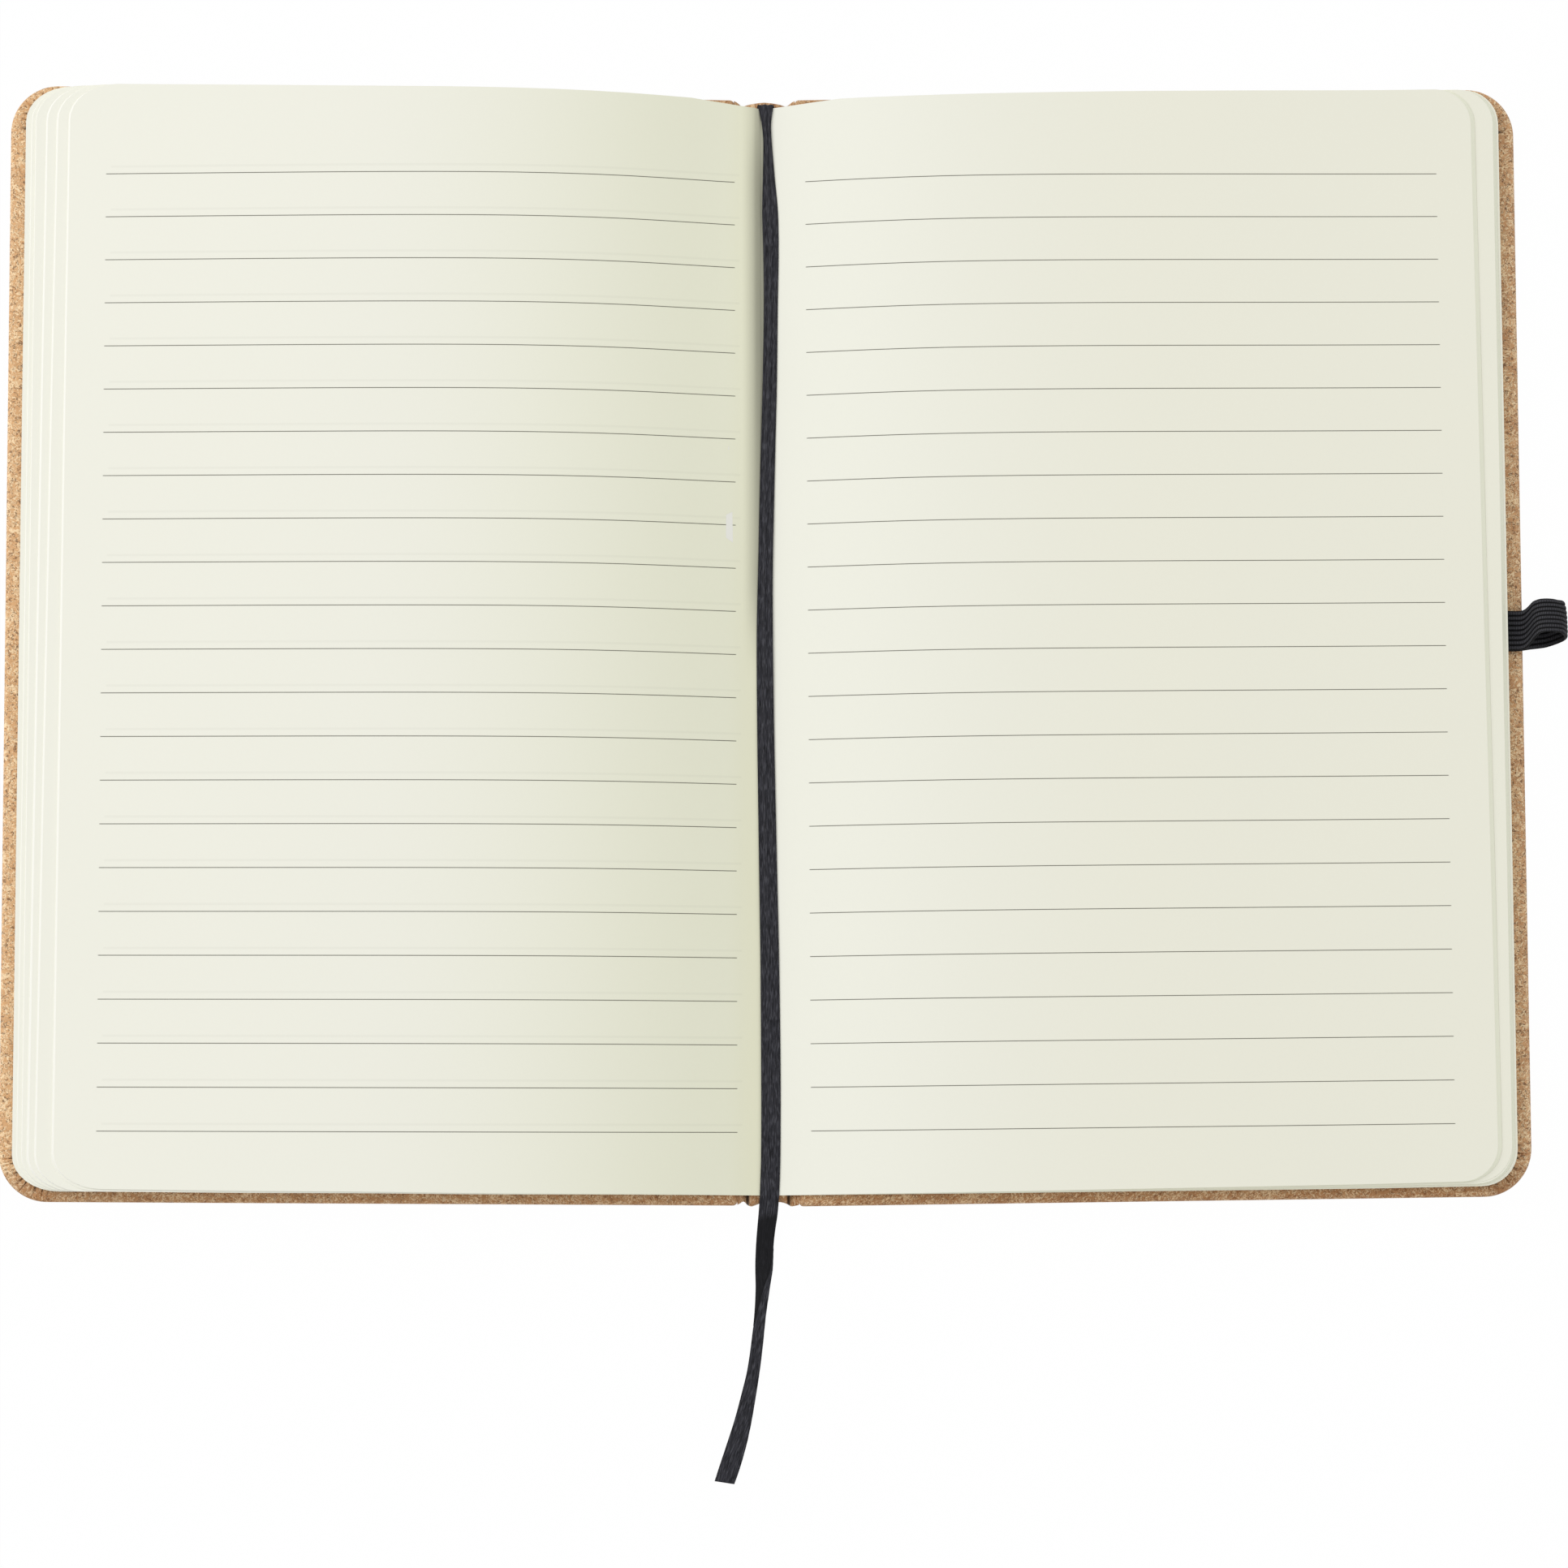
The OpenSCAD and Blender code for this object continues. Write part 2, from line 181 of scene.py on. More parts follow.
class Finish:
    """A material on the Principled shader, built up from values."""

    def __init__(self, name, **constants):
        self.material = bpy.data.materials.new(name)
        self.material.use_nodes = True
        self.tree = self.material.node_tree
        self.shader = self.tree.nodes["Principled BSDF"]
        for socket, value in constants.items():
            self.shader.inputs[socket.replace("_", " ")].default_value = value

    def node(self, kind, settings=None, inputs=None, output=0):
        made = self.tree.nodes.new(kind)
        for name, value in (settings or {}).items():
            setattr(made, name, value)
        for name, value in (inputs or {}).items():
            if isinstance(value, Value):
                self.tree.links.new(value.socket, made.inputs[name])
            else:
                made.inputs[name].default_value = value
        return Value(self, made.outputs[output])

    def flat(self):
        """The two directions of the piece's flat pattern, in mm."""
        pattern = self.node("ShaderNodeUVMap", {"uv_map": "flat"})
        return pattern, *(
            self.node("ShaderNodeSeparateXYZ", {}, {0: pattern}, output=i) for i in (0, 1)
        )

    def noise(self, where, scale, detail=2.0, roughness=0.5, distortion=0.0, stretch=None):
        if stretch:
            where = self.node(
                "ShaderNodeVectorMath", {"operation": "MULTIPLY"}, {0: where, 1: stretch}
            )
        return self.node("ShaderNodeTexNoise", {}, {
            "Vector": where, "Scale": scale, "Detail": detail, "Roughness": roughness,
            "Distortion": distortion,
        })

    def rise(self, value, low, high):
        """0 below low, 1 above high, and smooth between."""
        return self.node(
            "ShaderNodeMapRange", {"interpolation_type": "SMOOTHSTEP"},
            {"Value": value, "From Min": low, "From Max": high},
        )

    def mix(self, share, colour, other):
        """The first colour where share is 0, and the other where it is 1."""
        return self.node(
            "ShaderNodeMix", {"data_type": "RGBA"}, {0: share, 6: colour, 7: other}, output=2
        )

    def bump(self, height, strength, distance):
        return self.node(
            "ShaderNodeBump", {}, {"Height": height, "Strength": strength, "Distance": distance}
        )

    def give(self, **values):
        for socket, value in values.items():
            self.tree.links.new(value.socket, self.shader.inputs[socket.replace("_", " ")])
        return self.material


route = smooth_path(ribbon_route, 6)
middle = route[:, :3]
heading = np.gradient(middle, axis=0)
heading /= np.linalg.norm(heading, axis=1)[:, None]
sideways = np.cross(heading, np.stack([0 * heading[:, 0], -heading[:, 2], heading[:, 1]], 1))
sideways /= np.linalg.norm(sideways, axis=1)[:, None]
outwards = np.cross(heading, sideways)
ribbon_run = np.concatenate([[0], np.cumsum(np.linalg.norm(np.diff(middle, axis=0), axis=1))])
slope_start = ribbon_run[np.argmax((route[:, 1] < -110.5) & (route[:, 2] > 0))]

places = np.linspace(-ribbon_w / 2, ribbon_w / 2, 31)[None, :]
lies = route[:, 3:4] * (1 - 0.12 * np.clip((route[:, 1:2] - 100) / 5, 0, 1))
fold = route[:, 4:5]


def off_fold(place):
    """Distance on the table between a place across the ribbon and its fold."""
    return np.sqrt((place - fold) ** 2 + fold_r**2) - fold_r


widest = np.maximum(off_fold(-ribbon_w / 2), off_fold(ribbon_w / 2))
out = lies / 2 - off_fold(places) * lies / widest
folded = np.clip((ribbon_w / 2 - fold) / 0.5, 0, 1)
under = np.clip((fold + ribbon_w / 2) / 0.8, 0, 1)
lift = folded * under * fold_lift * (1 + (places - fold) / np.sqrt((places - fold) ** 2 + fold_r**2))
turns = math.pi * ribbon_gathers
depth = 0.3 * lies / turns * np.sqrt(np.maximum(ribbon_w / lies - 1, 0)) * (1 - folded)
wander = (0.9 * np.sin(ribbon_run / 11) + 0.6 * np.sin(ribbon_run / 4.3))[:, None]
gathered = depth * (np.cos(2 * turns * places / ribbon_w + 0.8 + wander) - 0.2)
# It lies a little off the plain course: it turns over the drawn-in head of the gutter, and leans left
drawn_in = 1.2 * np.clip((route[:, 1] - 98) / 8, 0, 1)
leaning = np.interp(
    route[:, 1], [-160, -120, -112, -107, -100, -60, 60, 100], [-0.3, -0.25, -0.45, -0.45, -0.3, 0, 0, -0.15]
)
lying = middle + np.stack([leaning, -drawn_in, 0 * leaning], 1)
sheet_middle = (
    lying[:, None] + sideways[:, None] * out[..., None] + outwards[:, None] * (lift + gathered)[..., None]
)
# The end is cut a little askew
for back, share in ((-1, 0.18), (-2, 0.12), (-3, 0.06)):
    sheet_middle[back] -= heading[back] * (out[back] * share)[:, None]
facing = np.cross(np.gradient(sheet_middle, axis=0), np.gradient(sheet_middle, axis=1))
facing /= np.linalg.norm(facing, axis=2)[..., None]
half_thick = ribbon_t / 2 * np.sqrt(1.04 - (2 * places / ribbon_w) ** 2)
ribbon_skins = [(sheet_middle + facing * (skin * half_thick)[..., None]).reshape(-1, 3) for skin in (1, -1)]
ribbon_flat = [
    np.stack(np.broadcast_arrays(places + side, ribbon_run[:, None]), -1).reshape(-1, 2)
    for side in (0, ribbon_under_side)
]

satin = Finish("black_satin", Roughness=0.5, Specular_IOR_Level=0.2)
pattern, across, along = satin.flat()
streaks = satin.noise(pattern, 1.0, detail=3.0, roughness=0.7, stretch=(5.0, 0.35, 1))
threads = satin.noise(pattern, 1.0, detail=2.0, stretch=(4.5, 0.5, 1))
off_middle = abs((across + ribbon_under_side / 2) % ribbon_under_side - ribbon_under_side / 2)
edge = satin.rise(off_middle, 1.6, 1.8)
# From where it slopes down off the pages, its upper side lies in shade
slope = satin.rise(along + 0.4 * across, slope_start - 2.2, slope_start - 0.2)
slope = slope * (1 - satin.rise(across, 5, 6))
sheen = satin.mix(satin.rise(streaks, 0.35, 0.65), (0.004, 0.004, 0.006, 1), (0.03, 0.03, 0.038, 1))
sheen = satin.mix(satin.rise(threads, 0.5, 0.66) * 0.55, sheen, (0.085, 0.085, 0.1, 1))
sheen = satin.mix(slope * 0.85, sheen, (0.002, 0.002, 0.003, 1))
black_satin = satin.give(
    Base_Color=satin.mix(edge * 0.5, sheen, (0.01, 0.01, 0.012, 1)),
    Roughness=0.42 + 0.25 * streaks,
    Normal=satin.bump(threads + streaks, 0.4, 0.00008),
)

ribbon = add_piece(
    "satin_ribbon", np.concatenate(ribbon_skins) / 1000, sheet_faces(len(route), places.size),
    np.vstack(ribbon_flat), black_satin, crease=70,
)
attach(ribbon, "spine")
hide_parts("ribbon_marker")

# Pages
# Two halves of thin cream leaves, sewn in groups at the gutter. Each leaf rises out of the gutter
# and falls towards its fore edge, and the groups fan out. Both sides of a leaf are ruled in grey.
page_half_h = 105.8
# Heights of the sewn block's foot, of the gutter, and of the lowest leaf where it lies on its cover
block_z = 2.1
gutter_z = 2.75
leaf_z = 3.25
# Between these distances from the middle the foot rises on to the cover
foot_from, foot_to = 3.85, 6.1
# How far the sewing draws in the head at the gutter, and how far the leaves' fore edges lift
head_drawn_in = 1.25
fore_edge_lift = 0.3
leaf_columns, corner_columns, leaf_rows = 17, 8, 15
# The underside of a leaf lies this far along in the flat pattern, and its cut edges between the two
under_side = 400
near_columns = (0, 0.35, 0.7, 1.05, 1.4, 1.75, 2.1, 2.6, 3.2, 3.85, 4.6, 5.3)

# Each half, in mm: side of the spine; rise, run and fall of its top leaf, how much it folds up beside
# the gutter and levels off outside; how the head, the tail and the ruling lean, and by what share
# the lowest leaf's tail leans less, with its steps up through the leaves; how much wider the leaves
# are than measured, and how wide and high their rounded corners; how far head and tail lie in at
# each distance edge_x from the gutter; and the groups of leaves of its fan from the lowest up: how
# many, and how far the lowest and the top one reach at the head, then at the tail
page_sides = {
    "left": dict(
        sign=-1, rise=17.5, run=28.7, fall=0.085, head_lean=0.0150, tail_lean=0.0108,
        line_lean=0.0059, low_share=0.35, gutter_fold=1.3, level_off=0.0,
        edge_x=(0, 14, 30, 53, 77, 100, 116, 127, 141), widened=1.001, corner=(9.2, 7.0),
        head_in=(0.27, 0.25, 0.19, 0.14, 0.13, -0.06, -0.18, -0.28, -0.4),
        tail_in=(-0.1, 0.05, 0.15, 0.14, 0.29, 0.26, 0.33, 0.4, 0.25),
        fan=(
            (23, 142.65, 142.45, 144.0, 143.85), (5, 141.4, 141.2, 143.0, 142.8),
            (5, 140.5, 140.35, 142.0, 141.8), (5, 138.4, 138.05, 140.95, 140.5),
            (5, 136.3, 135.95, 139.4, 139.0), (5, 133.95, 133.6, 136.05, 135.6),
        ),
        tail_steps=((0, 0.95, 0.96, 1), (0, 0, 1, 1)),
    ),
    "right": dict(
        sign=1, rise=10.65, run=26.0, fall=0.047, head_lean=0.0160, tail_lean=0.0124,
        line_lean=0.0078, low_share=0.6, gutter_fold=0.0, level_off=0.00035,
        edge_x=(0, 17, 30, 48, 71, 95, 118, 134, 141), widened=1.0007, corner=(6.9, 6.9),
        head_in=(0.1, 0.15, 0.33, 0.37, 0.33, 0.37, 0.5, 0.45, 0.3),
        tail_in=(-0.1, 0.0, 0.03, 0.08, 0.17, 0.2, 0.3, 0.5, 0.55),
        fan=(
            (28, 142.45, 142.3, 143.5, 143.4), (8, 141.85, 141.1, 142.95, 142.2),
            (6, 137.6, 136.7, 140.3, 139.4),
        ),
        tail_steps=((0, 0.66, 0.67, 0.85, 0.86, 1), (0, 0, 0.5, 0.5, 1, 1)),
    ),
}


def ruled_paper(name, first_line, near, far, inner_cream, outer_cream, edge_cream_and_painted_light, facing_away):
    """Cream uncoated paper with 23 thin grey lines. The half that faces away from the window has painted
    shade in its gutter, yellower and greyer there, and shows the lines on the back of its leaf."""
    paper = Finish(name, Roughness=0.85, Specular_IOR_Level=0.25)
    pattern, out, up = paper.flat()
    pitch = 8.342
    line_count = 23
    fibres = paper.noise(pattern, 1.4, detail=4.0, roughness=0.65)
    clouds = paper.noise(pattern, 0.03, detail=2.0)

    def lines(first, width, start, end, depth):
        count = (first - up) / pitch
        off = abs((count + 10.5) % 1 - 0.5) * pitch
        row = 1 - paper.rise(off, width / 2 - 0.05, width / 2 + 0.05)
        rows = paper.rise(count, -0.5, -0.45) * (1 - paper.rise(count, line_count - 0.55, line_count - 0.5))
        begin, finish = (place[0] - up * place[1] for place in (start, end))
        columns = paper.rise(out - begin, -0.15, 0.15) * (1 - paper.rise(out - finish, -0.15, 0.15))
        return row * rows * columns * depth

    # Painted shade tint: outwards from the gutter the cream runs from the inner colour to the outer one, the
    # yellower of them where the half lies in more shade
    cream = paper.mix(paper.rise(out, 5, 80), inner_cream, outer_cream)
    cream = paper.mix(clouds * 0.3, cream, (0.84, 0.84, 0.74, 1))
    cream = paper.mix(fibres * 0.06, cream, (0.72, 0.71, 0.6, 1))
    # The underside and the cut edges take the edge colour, which on the right half is painted light on the
    # shaded steps of its fan
    cream = paper.mix(paper.rise(out, 0.4 * under_side, 0.55 * under_side), cream, edge_cream_and_painted_light)
    ink = lines(first_line, 0.15, near, far, 0.92)
    if facing_away:
        shown = [(place[0] - 1, place[1]) for place in (near, far)]
        ink = ink + lines(first_line + 1.4, 0.45, *shown, 0.04)
        # Painted shade by the gutter: the paper is painted yellower within a few mm of it, and greyer in a
        # band beside it over the half towards the head
        gutter_shade_tint = 1 - paper.rise(out, 2, 9)
        cream = paper.mix(gutter_shade_tint * 0.5, cream, (0.8, 0.79, 0.57, 1))
        gutter_shadow = (1 - paper.rise(out, 1.4, 5.0)) * paper.rise(up, -8, 14)
        cream = paper.mix(gutter_shadow * (0.44 - 0.2 * paper.rise(up, 88, 104)), cream, (0.02, 0.02, 0.02, 1))
    return paper.give(
        Base_Color=paper.mix(ink, cream, (0.07, 0.065, 0.045, 1)),
        Normal=paper.bump(fibres, 0.25, 0.00005),
    )


def leaf_half(name, side, finish):
    """All the leaves of one half, as thin closed sheets."""
    half = page_sides[side]
    sign = half["sign"]
    corner_w, corner_h = half["corner"]
    leaves = sum(group[0] for group in half["fan"])
    paper_share = 0.96 / leaves
    chance = np.random.default_rng(7 if side == "left" else 11)
    level = np.linspace(-1, 1, leaf_rows)
    headwards = (level[:, None] + 1) / 2
    points, faces, flat = [], [], []
    reaches = []
    for count, head_low, head_top, tail_low, tail_top in half["fan"]:
        for place in np.linspace(0, 1, count):
            tail, head = tail_low + (tail_top - tail_low) * place, head_low + (head_top - head_low) * place
            reaches.append((tail, head))
    below = None
    for leaf, (tail, head) in enumerate(reaches):
        share = (leaf + 1) / leaves
        reach = (tail + (head - tail) * (1 + level) / 2) * half["widened"]
        reach = reach + chance.uniform(-0.015, 0.015) + 0.01 * chance.uniform(-1, 1) * level
        # The cut edge slants out to the leaf below, but not over a step of the fan
        slant = 1 if below is None else below.mean() / reach.mean()
        slant = slant if 1 < slant < 1.002 else 1
        below = reach
        mean_reach = reach.mean()
        bend = mean_reach - corner_w
        inner = near_columns[-1] + (bend - near_columns[-1]) * np.linspace(0, 1, leaf_columns)[1:] ** 1.25
        angle = np.linspace(0, math.pi / 2, corner_columns + 1)[1:]
        columns = np.concatenate([near_columns, inner, bend + corner_w * np.sin(angle)])
        depth = np.concatenate([0 * inner, 0 * np.array(near_columns), 1 - np.cos(angle)])
        x = columns[None, :] * (reach / mean_reach)[:, None]
        tail_lean = half["tail_lean"] * (1 - half["low_share"] * (1 - np.interp(share, *half["tail_steps"])))
        lean = tail_lean + (half["head_lean"] - tail_lean) * headwards
        y = level[:, None] * (page_half_h - corner_h * depth[None, :]) + lean * x
        y = y + np.interp(x, half["edge_x"], half["tail_in"]) * np.clip(-(y + 60) / 45, 0, 1) ** 2
        y = y - np.interp(x, half["edge_x"], half["head_in"]) * np.clip((y - 60) / 45, 0, 1) ** 2
        y = y - head_drawn_in * np.clip(1 - x / 14, 0, 1) * np.clip((y - 90) / 15, 0, 1)
        foot = block_z + (leaf_z - block_z) * np.clip((x - foot_from) / (foot_to - foot_from), 0, 1)
        foot = foot + fore_edge_lift * (x / 142) ** 12
        wave = 0.16 * np.sin(y / 31 + 1.3 + sign) * (x / 140) ** 2
        wave = wave + 0.1 * np.sin(y / 14 + x / 30) * (x / 140) ** 3
        top = gutter_z + half["rise"] * (1 - np.exp(-((x / half["run"]) ** 1.37))) - half["fall"] * x + wave
        top = top + half["level_off"] * np.maximum(x - 95, 0) ** 2
        steep = np.clip((x - 0.5) / 1.8, 0, 1)
        steep = half["gutter_fold"] * steep**2 * (3 - 2 * steep) * np.exp(-x / 8)
        near_head = np.clip((y - 2) / 48, 0, 1)
        top = top + steep * near_head**2 * (3 - 2 * near_head)
        grid = [
            np.stack([sign * x * wider, y, foot + part * (top - foot)], -1)
            for part, wider in ((share, 1), (share - paper_share, slant))
        ]
        strip = grid[0][leaf_rows // 2]
        travel = np.concatenate([[0], np.cumsum(np.linalg.norm(np.diff(strip, axis=0), axis=1))])
        sheet_flat = np.stack([
            travel[None, :] * (reach / mean_reach)[:, None], y - half["line_lean"] * x
        ], -1).reshape(-1, 2)
        faces.append(sheet_faces(*x.shape) + len(points) * 2 * x.size)
        points.append(np.concatenate([g.reshape(-1, 3) for g in grid]) / 1000)
        flat += [sheet_flat, sheet_flat + [under_side, 0]]
    piece = add_piece(name, np.vstack(points), np.vstack(faces), np.vstack(flat), finish, crease=23)
    return piece


# The left half is painted yellower by the gutter and the right one towards its fore edge: painted shade tint
left_paper = ruled_paper(
    "ruled_paper_left", 89.69, (6.05, 0.0), (128.81, 0.005),
    (0.855, 0.86, 0.68, 1), (0.87, 0.865, 0.77, 1), (0.86, 0.855, 0.795, 1), True,
)
# The right half's cut edges are painted lighter: painted light on the shaded steps of its fan
right_paper = ruled_paper(
    "ruled_paper_right", 89.87, (8.2, 0.0022), (131.42, 0.0072),
    (0.86, 0.86, 0.77, 1), (0.88, 0.87, 0.745, 1), (0.92, 0.93, 0.76, 1), False,
)
left_leaves = leaf_half("left_leaves", "left", left_paper)
right_leaves = leaf_half("right_leaves", "right", right_paper)
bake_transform(left_leaves)
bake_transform(right_leaves)
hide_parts("pages")
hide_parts("pages")

# Spine
# A strip of card under a cloth lining, wrapped in the covering, which runs down into a groove on
# each side. The covering bends there, and is made in two halves, one on each side of the middle.
grey_board = Finish("grey_board", Roughness=0.9)
board_pattern = grey_board.node("ShaderNodeTexCoord", output=3)
board_flecks = grey_board.noise(board_pattern, 900.0, detail=4.0, roughness=0.7)
binders_board = grey_board.give(
    Base_Color=grey_board.mix(board_flecks, (0.22, 0.2, 0.18, 1), (0.4, 0.37, 0.33, 1)),
    Normal=grey_board.bump(board_flecks, 0.4, 0.0001),
)

cloth = Finish("lining_cloth", Roughness=0.95)
cloth_pattern = cloth.node("ShaderNodeTexCoord", output=3)
warp = cloth.node("ShaderNodeTexWave", {"bands_direction": "X"}, {"Vector": cloth_pattern, "Scale": 600.0})
weft = cloth.node("ShaderNodeTexWave", {"bands_direction": "Y"}, {"Vector": cloth_pattern, "Scale": 600.0})
lining_cloth = cloth.give(
    Base_Color=cloth.mix(warp * weft, (0.62, 0.58, 0.5, 1), (0.84, 0.81, 0.73, 1)),
    Normal=cloth.bump(warp + weft, 0.6, 0.0001),
)

cover_half_h = 107.2
cover_reach = 146.4
cover_corner_r = 9.3
pleats = 8
leather = Finish("bonded_leather", Roughness=0.55, Specular_IOR_Level=0.35)
pattern, out, up = leather.flat()
mottle = leather.noise(pattern, 0.35, detail=4.0, roughness=0.65)
grain = leather.noise(pattern, 1.5, detail=3.0, roughness=0.7, distortion=0.9)
fleck_field = leather.noise(pattern, 1.2, detail=3.0, roughness=0.7, distortion=2.2)
flecks = leather.rise(fleck_field + 0.25 * mottle, 0.62, 0.69)
darks = 1 - leather.rise(grain, 0.4, 0.48)
# Painted light: the front cover, on the window's side, is painted lighter
window_side_light = 1 - leather.rise(out, -60, 60)
tan = leather.mix(leather.rise(mottle, 0.35, 0.65), (0.57, 0.3, 0.14, 1), (0.73, 0.42, 0.205, 1))
tan = leather.mix(window_side_light * 0.6, tan, (0.765, 0.455, 0.215, 1))
tan = leather.mix(darks * 0.8, tan, (0.15, 0.065, 0.025, 1))
# Painted shade: inside the covers it is darker along the tail, and at the head of the spine
solid_place = leather.node("ShaderNodeTexCoord", output=3)
height = leather.node("ShaderNodeSeparateXYZ", {}, {0: solid_place}, output=2)
inside = leather.rise(height, 0.0002, 0.0008)
painted_border_shade = leather.rise(0 - up, 99, 106) + leather.rise(up, 102, 106) * (1 - leather.rise(abs(out), 20, 30))
painted_border_shade = painted_border_shade * inside
tan = leather.mix(painted_border_shade * 0.55, tan, (0.26, 0.095, 0.02, 1))
tan = leather.mix(flecks * (0.8 - 0.3 * painted_border_shade), tan, (1.0, 0.78, 0.5, 1))
# Painted shade in the folds of the covering in the grooves, seen at the tail
groove_shade = leather.rise(abs(out), 3.5, 3.8) * (1 - leather.rise(abs(out), 4.1, 4.5))
tan = leather.mix(groove_shade * leather.rise(0 - up, 100, 103) * inside * 0.9, tan, (0.02, 0.01, 0.006, 1))
# Painted shade in the creases of the pleats gathered in round each outer corner
past_x = abs(out) - (cover_reach - cover_corner_r)
past_y = abs(up) - (cover_half_h - cover_corner_r)
angle = past_y.maths("ARCTAN2", past_y, past_x) * (180 / math.pi)
sway = angle * 0.17 + 2 * up.maths("SIGN", up)
phase = (angle + 6) * (pleats / 100) + 0.22 * sway.maths("SINE", sway)
crease = 1 - leather.rise(phase % 1, 0.04, 0.26) + leather.rise(phase % 1, 0.93, 1.0)
crease = crease * leather.rise(angle, -6, -4) * (1 - leather.rise(angle, 92, 94))
radius = (past_x * past_x + past_y * past_y) ** 0.5
crease = crease * (1 - leather.rise(radius, 6.8, 8.8)) * inside
bonded_leather = leather.give(
    Base_Color=leather.mix(crease * 0.97, tan, (0.03, 0.013, 0.006, 1)),
    Roughness=0.45 + 0.2 * grain,
    Normal=leather.bump(grain + 0.6 * flecks, 0.5, 0.0002),
)

nodes["spine_lining"].data.materials.clear()
nodes["spine_lining"].data.materials.append(lining_cloth)
strip_corners = [(x, y, z) for x in (-3.85, 3.85) for y in (-105.7, 104.3) for z in (0.5, 1.5)]
strip_sides = [(0, 1, 3, 2), (4, 6, 7, 5), (0, 4, 5, 1), (2, 3, 7, 6), (0, 2, 6, 4), (1, 5, 7, 3)]
card_strip = add_piece(
    "card_strip", np.array(strip_corners) / 1000, strip_sides, [c[:2] for c in strip_corners], binders_board
)
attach(card_strip, "spine")
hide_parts("spine_strip")

# x, height of the underside and thickness of the spine's covering with the strip in it
spine_section = [
    (0, 0, 2.0), (1.2, 0, 2.0), (2.4, 0, 2.0), (3.1, 0, 2.0), (3.5, 0.02, 1.75), (3.8, 0.08, 1.2),
    (4.05, 0.2, 0.75), (4.35, 0.45, 0.6), (4.65, 0.8, 0.85), (4.95, 1.0, 1.1), (5.4, 1.1, 1.15),
    (5.9, 1.0, 1.15),
]
# y where the covering ends at those places, at the tail and at the head
spine_tails = {
    -1: (107.25, 107.3, 107.75, 108.0, 107.95, 107.8, 107.65, 107.3, 107.05, 107.1, 107.4, 107.65),
    1: (107.25, 107.2, 107.2, 107.35, 107.5, 107.65, 107.8, 108.0, 108.0, 107.95, 107.85, 107.75),
}
spine_heads = (106.1, 106.0, 105.8, 105.65, 105.55, 105.5, 105.45, 105.45, 105.5, 105.7, 106.05, 106.3)


def spine_half(name, sign):
    """Half of the spine's covering, from its middle into one groove: outer skin, rounded ends and
    inner skin."""
    section = np.array(spine_section, float)
    thick = section[:, 2]
    tail, head = -np.array(spine_tails[sign]), np.array(spine_heads)
    turn = np.linspace(-math.pi / 2, math.pi / 2, 9)
    length = np.concatenate([[0], np.cumsum(np.linalg.norm(np.diff(section[:, :2], axis=0), axis=1))])
    points, flat = [], []

    def row(y, height, run):
        across = sign * section[:, 0]
        points.append(np.stack(np.broadcast_arrays(across, y, section[:, 1] + height), -1))
        flat.append(np.stack(np.broadcast_arrays(sign * length, run), -1))

    fold_y = 92.7
    leather_t = 0.5
    end_r = 0.8
    for span in np.linspace(0, 1, 14):
        y = tail + end_r + (head - tail - 2 * end_r) * span
        row(y, 0, y)
    for angle in turn[1:]:
        around = thick / 2 * (1 + np.sin(angle))
        row(head - end_r + end_r * np.cos(angle), around, head + around)
    row(fold_y, thick, head + 16)
    row(fold_y - 0.05, leather_t, head + 16)
    for span in np.linspace(1, -1, 12)[1:-1]:
        row(span * (fold_y - 0.1), leather_t, head + 110 - 90 * span)
    row(0.05 - fold_y, leather_t, tail - 16)
    row(-fold_y, thick, tail - 16)
    for angle in turn[::-1][:-1]:
        around = thick / 2 * (1 + np.sin(angle))
        row(tail + end_r - end_r * np.cos(angle), around, tail - around)
    count, width = len(points), len(section)
    index = np.arange(count * width).reshape(count, width)
    after = np.roll(index, -1, axis=0)
    faces = [tuple(f) for f in np.stack([
        index[:, :-1].ravel(), index[:, 1:].ravel(), after[:, 1:].ravel(), after[:, :-1].ravel()
    ], 1)]
    middle = [tuple(index[:, 0]), tuple(index[::-1, -1])]
    piece = add_piece(
        name, np.vstack(points) / 1000, faces + middle, np.vstack(flat), bonded_leather, crease=50
    )
    return piece


left_spine = spine_half("left_spine_covering", -1)
right_spine = spine_half("right_spine_covering", 1)
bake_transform(left_spine)
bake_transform(right_spine)
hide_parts("spine_covering")
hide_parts("spine_covering")

# Covers
# Each cover is a sheet of grey board wrapped in bonded leather, turned in over its edges and
# gathered in small pleats round the two outer corners, with an endpaper pasted over the inside.
cover_inner_x = 5.85
# How each cover lies: its side, how far out it reaches and how much less towards the head, and how
# much shorter it is beside the spine and how it leans away from there, at the tail and at the head
cover_lies = {
    "front": dict(sign=-1, out=146.45, turn=0.0052, tail=(-0.6, 0.0093), head=(-0.9, 0.0205)),
    "back": dict(sign=1, out=146.4, turn=0.0042, tail=(-0.8, 0.0098), head=(-0.87, 0.0158)),
}
# How far in from the cover's edge and how high each line round the cover lies
cover_section = (
    [(14, 2.55), (14, 2.96), (9, 3.0), (6.5, 3.0), (4.6, 3.0), (3.4, 3.0), (2.6, 3.0), (2, 3.0), (1.4, 2.99)]
    + [(0.9 - 0.9 * math.sin(a), 2.1 + 0.9 * math.cos(a)) for a in np.linspace(0, math.pi / 2, 6)]
    + [(0.9 - 0.9 * math.cos(a), 0.9 - 0.9 * math.sin(a)) for a in np.linspace(0, math.pi / 2, 6)]
    + [(3, 0), (8, 0)]
)
inner_section = [(8, 0.5), (0.55, 0.5), (0.55, 2.5), (13.9, 2.5)]


